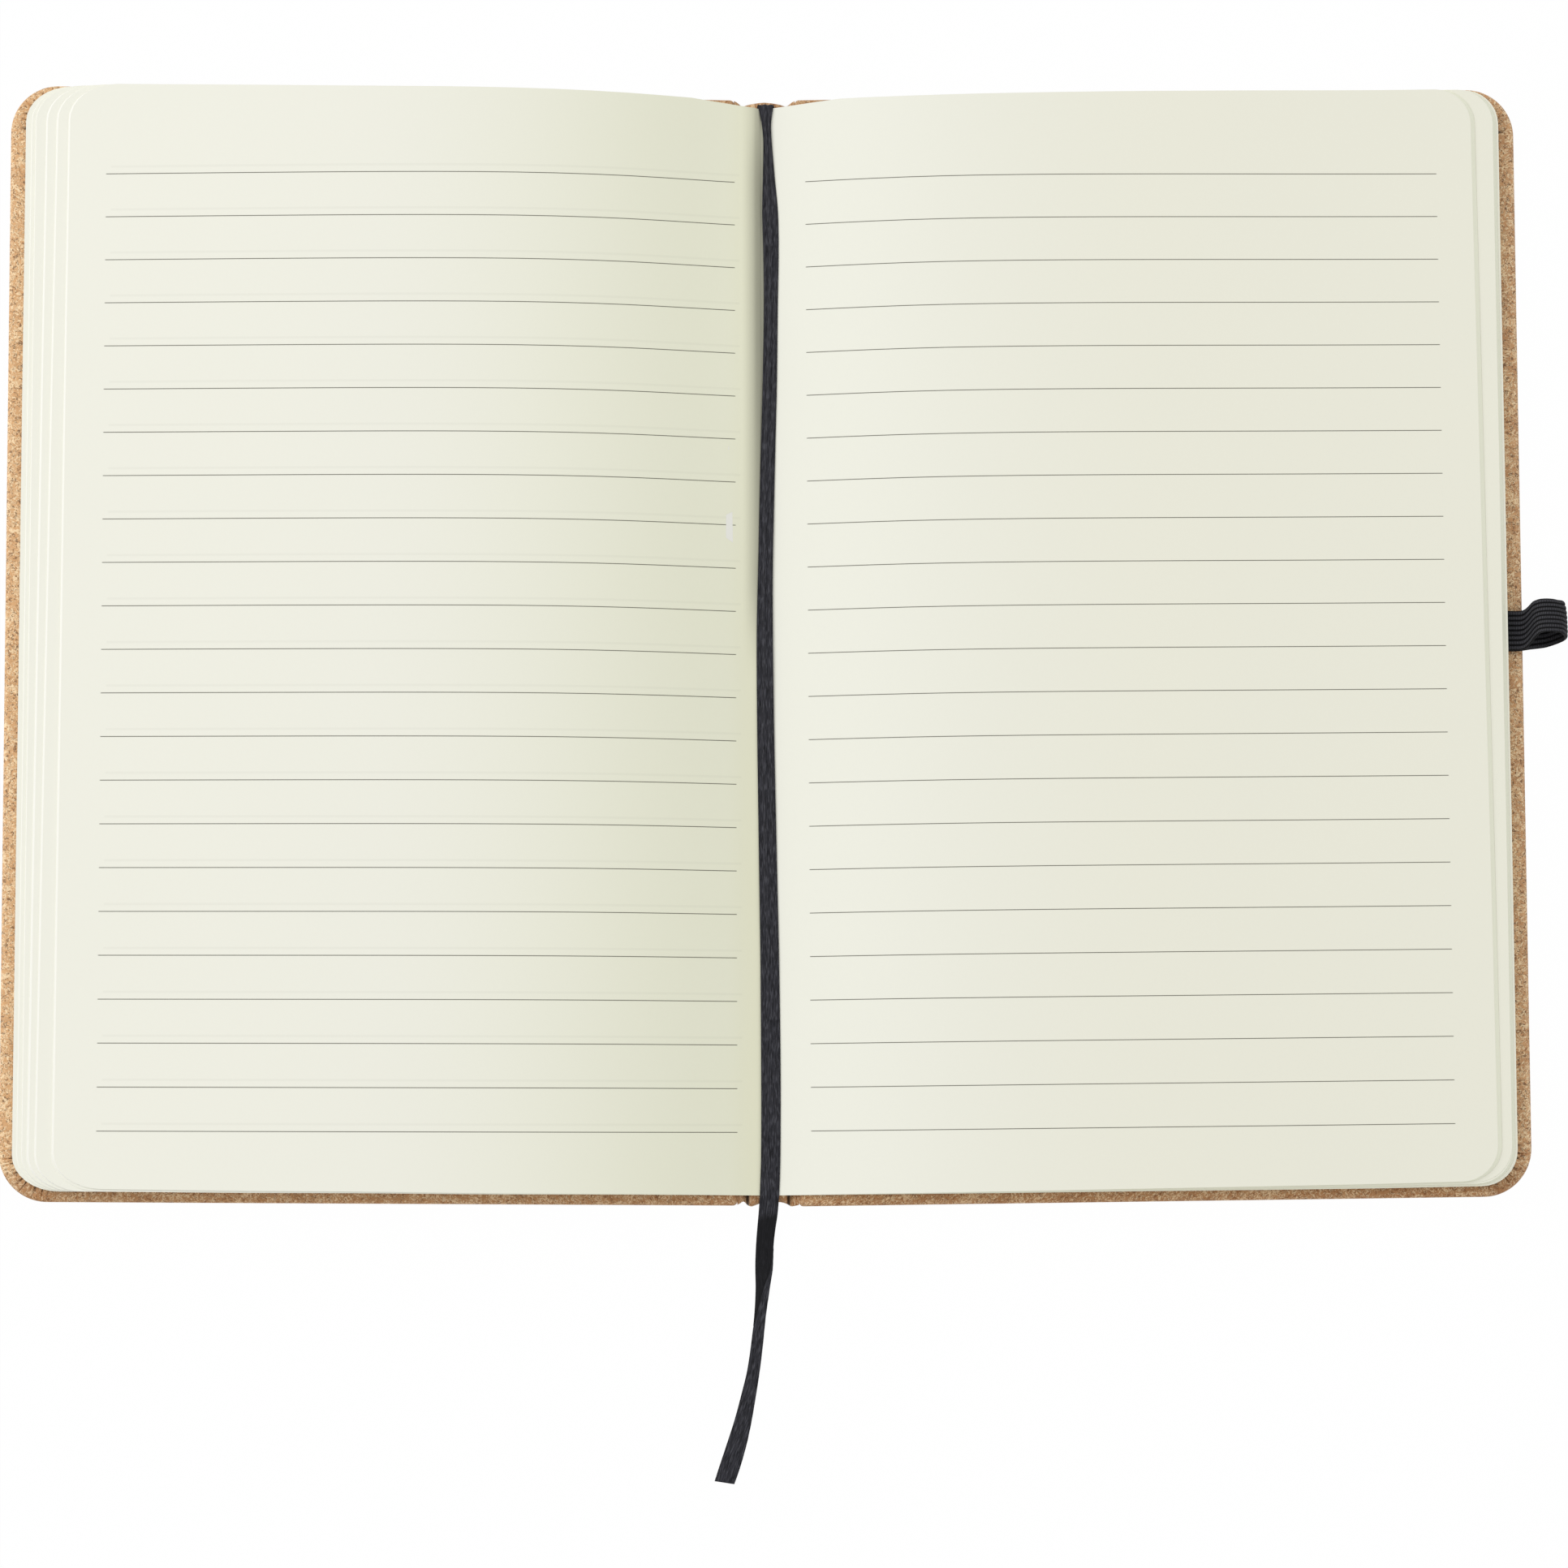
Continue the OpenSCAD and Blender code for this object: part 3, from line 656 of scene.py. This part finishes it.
def cover_line(inset):
    """Points round one cover at that distance inside its outline, counter-clockwise from the hinge."""
    r = max(cover_corner_r - inset, 0.6)
    near_r = max(0.9 - inset, 0.3)
    low_x, high_x = cover_inner_x + min(inset, 3.0), cover_reach - inset
    half = cover_half_h - inset
    made = []
    corners = [
        (high_x - r, -half + r, r, -90, 99), (high_x - r, half - r, r, 0, 99),
        (low_x + near_r, half - near_r, near_r, 90, 7), (low_x + near_r, -half + near_r, near_r, 180, 7),
    ]
    for (cx, cy, radius, first, count), following in zip(corners, corners[1:] + corners[:1]):
        angles = np.radians(first + np.linspace(0, 90, count))
        arc = np.stack([cx + radius * np.cos(angles), cy + radius * np.sin(angles)], 1)
        made.append(arc)
        fx, fy, fr, start, _ = following
        to = np.array([fx + fr * math.cos(math.radians(start)), fy + fr * math.sin(math.radians(start))])
        shares = np.linspace(0, 1, 14)[1:-1, None]
        made.append(arc[-1] + (to - arc[-1]) * shares)
    return np.vstack(made)


def as_it_lies(side, x, y):
    """Where a point of the square cover lies, with the cover turned a little and its ends leaning."""
    lie = cover_lies[side]
    headwards = np.clip((y / cover_half_h + 1) / 2, 0, 1)
    short, lean = (
        lie["tail"][i] * (1 - headwards) + lie["head"][i] * headwards for i in (0, 1)
    )
    moved_y = y + lean * (x - cover_inner_x) + short
    return lie["sign"] * x * (lie["out"] - lie["turn"] * y) / cover_reach, moved_y


def gather(x, y, inset):
    """How far the gathered pleats dip at a point near the cover's outer corners."""
    past_x = x - (cover_reach - cover_corner_r)
    past_y = np.abs(y) - (cover_half_h - cover_corner_r)
    angle = np.degrees(np.arctan2(past_y, past_x))
    around = (angle > -6) & (angle < 94)
    phase = (angle + 6) / 100 * pleats + 0.22 * np.sin(angle * 0.17 + 2 * np.sign(y))
    place = phase % 1
    crease = np.clip(place / 0.34, 0, 1) * np.clip((1 - place) / 0.1, 0, 1)
    length = 0.75 + 0.35 * np.sin(np.floor(phase) * 2.4 + np.sign(y))
    depth = np.interp(inset, [0, 0.4, 1.2, 2.4, 5, 9], [0.02, 0.1, 0.3, 0.5, 0.5, 0.3])
    return np.where(around, depth * length * (1 - crease), 0)


def covering(name, side):
    """The leather of one cover: outer skin from the turned-in edge round to the underside, then
    inner skin."""
    sign = cover_lies[side]["sign"]
    points, flat = [], []
    run, last = 0.0, None
    for inset, height in cover_section:
        line = cover_line(inset)
        if last:
            run += math.hypot(inset - last[0], height - last[1])
        last = (inset, height)
        z = height - (gather(line[:, 0], line[:, 1], inset) if height > 2 else 0)
        points.append(np.stack([*as_it_lies(side, line[:, 0], line[:, 1]), z + 0 * line[:, 0]], 1))
        flat.append(cover_line(13.6 - run) * [sign, 1])
    for inset, height in inner_section:
        line = cover_line(inset)
        points.append(np.stack([*as_it_lies(side, line[:, 0], line[:, 1]), height + 0 * line[:, 0]], 1))
        flat.append(line)
    around = len(points[0])
    outer = len(cover_section)
    faces = []
    for first, rings in ((0, outer), (outer, len(inner_section))):
        for ring in range(first, first + rings - 1):
            here, there = ring * around, (ring + 1) * around
            for i in range(around):
                j = (i + 1) % around
                faces.append((here + i, here + j, there + j, there + i))
    last_ring = len(points) - 1
    for i in range(around):
        j = (i + 1) % around
        faces.append((last_ring * around + i, last_ring * around + j, j, i))
    faces.append(tuple((outer - 1) * around + i for i in range(around)))
    faces.append(tuple(outer * around + i for i in reversed(range(around))))
    piece = add_piece(name, np.vstack(points) / 1000, faces, np.vstack(flat), bonded_leather, crease=50)
    return piece


end_paper = Finish("end_paper", Roughness=0.88, Specular_IOR_Level=0.2)
end_pattern = end_paper.node("ShaderNodeTexCoord", output=3)
end_fibres = end_paper.noise(end_pattern, 1400.0, detail=4.0, roughness=0.65)
cream_paper = end_paper.give(
    Base_Color=end_paper.mix(end_fibres, (0.82, 0.81, 0.7, 1), (0.87, 0.86, 0.76, 1)),
    Normal=end_paper.bump(end_fibres, 0.25, 0.00005),
)


def lying_copy(name, node, side, finish, trim=0.0):
    """The cover's hidden board or its endpaper, from its solid, lying as the covering does."""
    mesh = nodes[node].data.copy()
    mesh.name = name
    place = np.zeros(len(mesh.vertices) * 3)
    mesh.vertices.foreach_get("co", place)
    place = place.reshape(-1, 3)
    reach, up = np.abs(place[:, 0]), place[:, 1] * 1000
    x, y = as_it_lies(side, reach * 1000 - trim * (reach > 0.14), up)
    # Beside the pen loop nothing moves towards the head, so that its pocket stays over its ends
    moved = np.clip(np.abs(up - 2.1) / 50 - 0.14, 0, 1)
    place[:, 0], place[:, 1] = x / 1000, place[:, 1] + (y / 1000 - place[:, 1]) * moved
    mesh.vertices.foreach_set("co", place.ravel())
    mesh.materials.clear()
    mesh.materials.append(finish)
    mesh.update()
    piece = bpy.data.objects.new(name, mesh)
    bpy.context.scene.collection.objects.link(piece)
    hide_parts(node)
    return piece


for side in ("front", "back"):
    body = side + "_cover"
    leather_piece = covering(side + "_leather", side)
    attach(leather_piece, body)
    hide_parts(side + "_covering")
    board = lying_copy(side + "_grey_board", side + "_board", side, binders_board)
    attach(board, body)
    paper = lying_copy(side + "_end_paper", side + "_endpaper", side, cream_paper, trim=0.8)
    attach(paper, body)

# Pen loop
# A band of black elastic woven with eight round ribs, folded into a loop. Both ends are glued in
# under the back endpaper, and its upper layer is twisted a little towards the head.
band_w = 7.6
band_ribs = 8
band_t = 0.62
# x, y of its middle and z in mm
band_route = [
    (134.5, 2.15, 3.38), (139, 2.15, 3.38), (143, 2.15, 3.38), (145.4, 2.2, 3.32), (146.6, 2.4, 2.8),
    (147.8, 2.65, 1.8), (149.4, 2.9, 0.95), (151.4, 3.2, 0.75), (153.3, 3.75, 1.7), (154.4, 4.2, 3.6),
    (154.2, 4.45, 5.7), (152.8, 4.85, 7.3), (150.8, 5.0, 7.75), (149.1, 4.9, 7.4), (148.2, 4.4, 6.5),
    (147.5, 3.5, 5.4), (146.7, 2.7, 4.6), (145.8, 2.38, 4.2), (144.0, 2.35, 4.1), (140, 2.35, 4.1),
    (134.5, 2.35, 4.1),
]
elastic = Finish("black_elastic", Roughness=0.75, Specular_IOR_Level=0.2)
pattern, across, _ = elastic.flat()
knit = elastic.node("ShaderNodeTexWave", {"bands_direction": "Y", "wave_profile": "SIN"}, {
    "Vector": pattern, "Scale": 1.0, "Distortion": 1.5, "Detail": 1.0,
})
lint = elastic.noise(pattern, 3.0, detail=3.0, roughness=0.7)
# Painted shade: the grooves between its ribs are painted nearly black
groove = elastic.rise(abs(((across + band_w / 2) / (band_w / band_ribs)) % 1 - 0.5), 0.14, 0.42)
fuzz = elastic.rise(lint * 0.5 + knit * 0.5, 0.3, 0.75)
thread = elastic.mix(fuzz, (0.01, 0.01, 0.012, 1), (0.07, 0.07, 0.08, 1))
black_elastic = elastic.give(
    Base_Color=elastic.mix(groove * 0.97, thread, (0.001, 0.001, 0.0015, 1)),
    Roughness=0.6 + 0.25 * lint,
    Normal=elastic.bump(knit + lint, 0.6, 0.00012),
)
band = smooth_path(band_route, 5)
ahead = np.gradient(band, axis=0)
ahead[:, 1] = 0
ahead /= np.linalg.norm(ahead, axis=1)[:, None]
normal = np.stack([-ahead[:, 2], 0 * ahead[:, 0], ahead[:, 0]], 1)
band_run = np.concatenate([[0], np.cumsum(np.linalg.norm(np.diff(band, axis=0), axis=1))])
per_rib = 6
spread = np.linspace(-1, 1, band_ribs * per_rib + 1)
rib_height = 0.12 + (band_t / 2 - 0.12) * np.sqrt(np.abs(np.sin(math.pi * band_ribs * (spread + 1) / 2)))
# The upper layer is tilted, with its edge towards the tail raised, and the far fold bulges a little
tilt = np.radians(27) * np.clip((band[:, 2] - 4.1) / 3, 0, 1)
over = np.stack([0 * tilt, np.cos(tilt), -np.sin(tilt)], 1)
bulge = 0.35 * np.clip(spread, 0, 1) ** 2 + 0.25 * spread**8
bulge = np.clip((band[:, 0] - 150) / 4, 0, 1)[:, None] * bulge[None, :]
band_skins = []
for skin in (1, -1):
    band_skins.append(
        band[:, None, :] + over[:, None, :] * (spread * band_w / 2)[None, :, None]
        + normal[:, None, :] * (skin * rib_height)[None, :, None] - bulge[..., None] * [1, 0, 0]
    )
band_flat = np.stack(np.broadcast_arrays(spread[None, :] * band_w / 2, band_run[:, None]), -1).reshape(-1, 2)
loop = add_piece(
    "elastic_loop", np.concatenate([s.reshape(-1, 3) for s in band_skins]) / 1000,
    sheet_faces(len(band), len(spread)), np.vstack([band_flat, band_flat]), black_elastic, crease=60,
)
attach(loop, "back_cover")
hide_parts("pen_loop")

# Table and light
# The notebook lies on a plain white table, lit by soft daylight from the left.
floor_mesh = bpy.data.meshes.new("table")
floor_corners = [(-2, -2, -0.0001), (2, -2, -0.0001), (2, 2, -0.0001), (-2, 2, -0.0001)]
floor_mesh.from_pydata(floor_corners, [], [(0, 1, 2, 3)])
table = bpy.data.objects.new("table", floor_mesh)
bpy.context.scene.collection.objects.link(table)
white = Finish("white_table", Base_Color=(0.9, 0.9, 0.9, 1), Roughness=0.9)
# The camera sees it as plain white, and light still falls on it and bounces off it
seen = sum(white.node("ShaderNodeLightPath", output=ray) for ray in (0, 3, 6))
shown = white.node("ShaderNodeMixShader", {}, {
    0: seen.maths("MINIMUM", seen, 1.0) * 0.985,
    1: Value(white, white.shader.outputs[0]),
    2: white.node("ShaderNodeEmission", {}, {"Color": (1, 1, 1, 1), "Strength": 1.0}),
})
white.tree.links.new(shown.socket, white.tree.nodes["Material Output"].inputs["Surface"])
floor_mesh.materials.append(white.material)

world = bpy.data.worlds.new("daylight")
bpy.context.scene.world = world
world.use_nodes = True
world.node_tree.nodes["Background"].inputs["Color"].default_value = (1, 1, 1, 1)
world.node_tree.nodes["Background"].inputs["Strength"].default_value = 0.7


def soft_lamp(name, power, size, place, aim):
    lamp_data = bpy.data.lights.new(name, "AREA")
    lamp_data.energy = power
    lamp_data.size = size
    lamp = bpy.data.objects.new(name, lamp_data)
    lamp.location = place
    direction = np.array(aim) - np.array(place)
    lamp.rotation_euler = (
        math.acos(-direction[2] / np.linalg.norm(direction)), 0,
        math.atan2(direction[1], direction[0]) - math.pi / 2,
    )
    bpy.context.scene.collection.objects.link(lamp)


soft_lamp("window", 19.5, 1.4, (-1.45, 0.65, 1.3), (0, 0, 0))
bpy.context.scene.view_settings.view_transform = "Standard"
